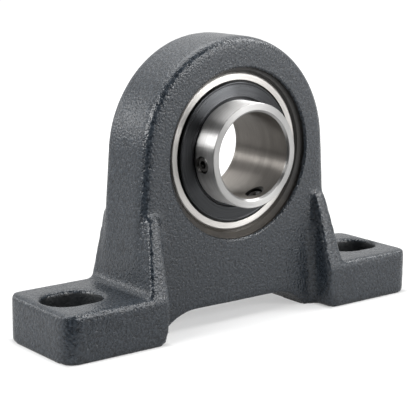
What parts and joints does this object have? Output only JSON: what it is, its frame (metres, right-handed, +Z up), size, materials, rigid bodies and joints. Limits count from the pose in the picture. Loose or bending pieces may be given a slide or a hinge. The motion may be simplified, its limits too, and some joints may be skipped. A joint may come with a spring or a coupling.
{
  "type": "pillow block bearing",
  "caption": "Cast pillow block with a raised shaft centre, slotted feet and a self-aligning insert bearing locked by set screws.",
  "frame": {"origin": "on the mounting plane, midway between the two bolt slots and under the bearing centre", "axes": "+X along the base, -Y towards the collar side (front), +Z up"},
  "size_m": [0.23, 0.057, 0.15],
  "materials": {
    "cast_iron": "dark blue-grey paint over an as-cast pebbled surface",
    "ring_steel": "fine ground",
    "collar_steel": "ground, bright",
    "ball_steel": "polished",
    "cage_steel": "pressed sheet",
    "seal_steel": "pressed sheet",
    "seal_rubber": "moulded, satin",
    "slinger_steel": "satin charcoal",
    "screw_steel": "black oxide"
  },
  "bodies": {
    "housing": {"housing": "cast_iron"},
    "outer_ring": {"outer_ring": "ring_steel", "seal_shell_front": "seal_steel", "seal_shell_back": "seal_steel", "seal_lip_front": "seal_rubber", "seal_lip_back": "seal_rubber"},
    "inner_ring": {"inner_ring": "collar_steel", "slinger_front": "slinger_steel", "slinger_back": "slinger_steel"},
    "cage": {"cage_front": "cage_steel", "cage_back": "cage_steel", "cage_rivets": "cage_steel"},
    "ball_01": {"ball_01": "ball_steel"},
    "ball_02": {"ball_02": "ball_steel"},
    "ball_03": {"ball_03": "ball_steel"},
    "ball_04": {"ball_04": "ball_steel"},
    "ball_05": {"ball_05": "ball_steel"},
    "ball_06": {"ball_06": "ball_steel"},
    "ball_07": {"ball_07": "ball_steel"},
    "ball_08": {"ball_08": "ball_steel"},
    "ball_09": {"ball_09": "ball_steel"},
    "ball_10": {"ball_10": "ball_steel"},
    "set_screw_a": {"set_screw_a": "screw_steel"},
    "set_screw_b": {"set_screw_b": "screw_steel"}
  },
  "joints": [
    {"name": "self_alignment", "type": "hinge", "parent": "housing", "child": "outer_ring", "pos_m": [0, 0, 0.09], "axis": [1, 0, 0], "range_deg": [-2, 2]},
    {"name": "shaft_turn", "type": "hinge", "parent": "outer_ring", "child": "inner_ring", "pos_m": [0, 0, 0.09], "axis": [0, -1, 0], "continuous": true},
    {"name": "cage_turn", "type": "hinge", "parent": "outer_ring", "child": "cage", "pos_m": [0, 0, 0.09], "axis": [0, -1, 0], "continuous": true},
    {"name": "ball_01_roll", "type": "hinge", "parent": "cage", "child": "ball_01", "pos_m": [0, 0, 0.1213], "axis": [0, -1, 0], "continuous": true},
    {"name": "ball_02_roll", "type": "hinge", "parent": "cage", "child": "ball_02", "pos_m": [0.0184, 0, 0.11532], "axis": [0, -1, 0], "continuous": true},
    {"name": "ball_03_roll", "type": "hinge", "parent": "cage", "child": "ball_03", "pos_m": [0.02977, 0, 0.09967], "axis": [0, -1, 0], "continuous": true},
    {"name": "ball_04_roll", "type": "hinge", "parent": "cage", "child": "ball_04", "pos_m": [0.02977, 0, 0.08033], "axis": [0, -1, 0], "continuous": true},
    {"name": "ball_05_roll", "type": "hinge", "parent": "cage", "child": "ball_05", "pos_m": [0.0184, 0, 0.06468], "axis": [0, -1, 0], "continuous": true},
    {"name": "ball_06_roll", "type": "hinge", "parent": "cage", "child": "ball_06", "pos_m": [0, 0, 0.0587], "axis": [0, -1, 0], "continuous": true},
    {"name": "ball_07_roll", "type": "hinge", "parent": "cage", "child": "ball_07", "pos_m": [-0.0184, 0, 0.06468], "axis": [0, -1, 0], "continuous": true},
    {"name": "ball_08_roll", "type": "hinge", "parent": "cage", "child": "ball_08", "pos_m": [-0.02977, 0, 0.08033], "axis": [0, -1, 0], "continuous": true},
    {"name": "ball_09_roll", "type": "hinge", "parent": "cage", "child": "ball_09", "pos_m": [-0.02977, 0, 0.09967], "axis": [0, -1, 0], "continuous": true},
    {"name": "ball_10_roll", "type": "hinge", "parent": "cage", "child": "ball_10", "pos_m": [-0.0184, 0, 0.11532], "axis": [0, -1, 0], "continuous": true},
    {"name": "set_screw_a_travel", "type": "slide", "parent": "inner_ring", "child": "set_screw_a", "axis": [-0.9925, 0, -0.1219], "range_m": [-0.0004, 0.002]},
    {"name": "set_screw_b_travel", "type": "slide", "parent": "inner_ring", "child": "set_screw_b", "axis": [0.342, 0, -0.9397], "range_m": [-0.0004, 0.002]}
  ],
  "couplings": [
    {"joint": "cage_turn", "follows": "shaft_turn", "ratio": 0.40815},
    {"joint": "ball_01_roll", "follows": "shaft_turn", "ratio": -2.6299},
    {"joint": "ball_02_roll", "follows": "shaft_turn", "ratio": -2.6299},
    {"joint": "ball_03_roll", "follows": "shaft_turn", "ratio": -2.6299},
    {"joint": "ball_04_roll", "follows": "shaft_turn", "ratio": -2.6299},
    {"joint": "ball_05_roll", "follows": "shaft_turn", "ratio": -2.6299},
    {"joint": "ball_06_roll", "follows": "shaft_turn", "ratio": -2.6299},
    {"joint": "ball_07_roll", "follows": "shaft_turn", "ratio": -2.6299},
    {"joint": "ball_08_roll", "follows": "shaft_turn", "ratio": -2.6299},
    {"joint": "ball_09_roll", "follows": "shaft_turn", "ratio": -2.6299},
    {"joint": "ball_10_roll", "follows": "shaft_turn", "ratio": -2.6299}
  ]
}
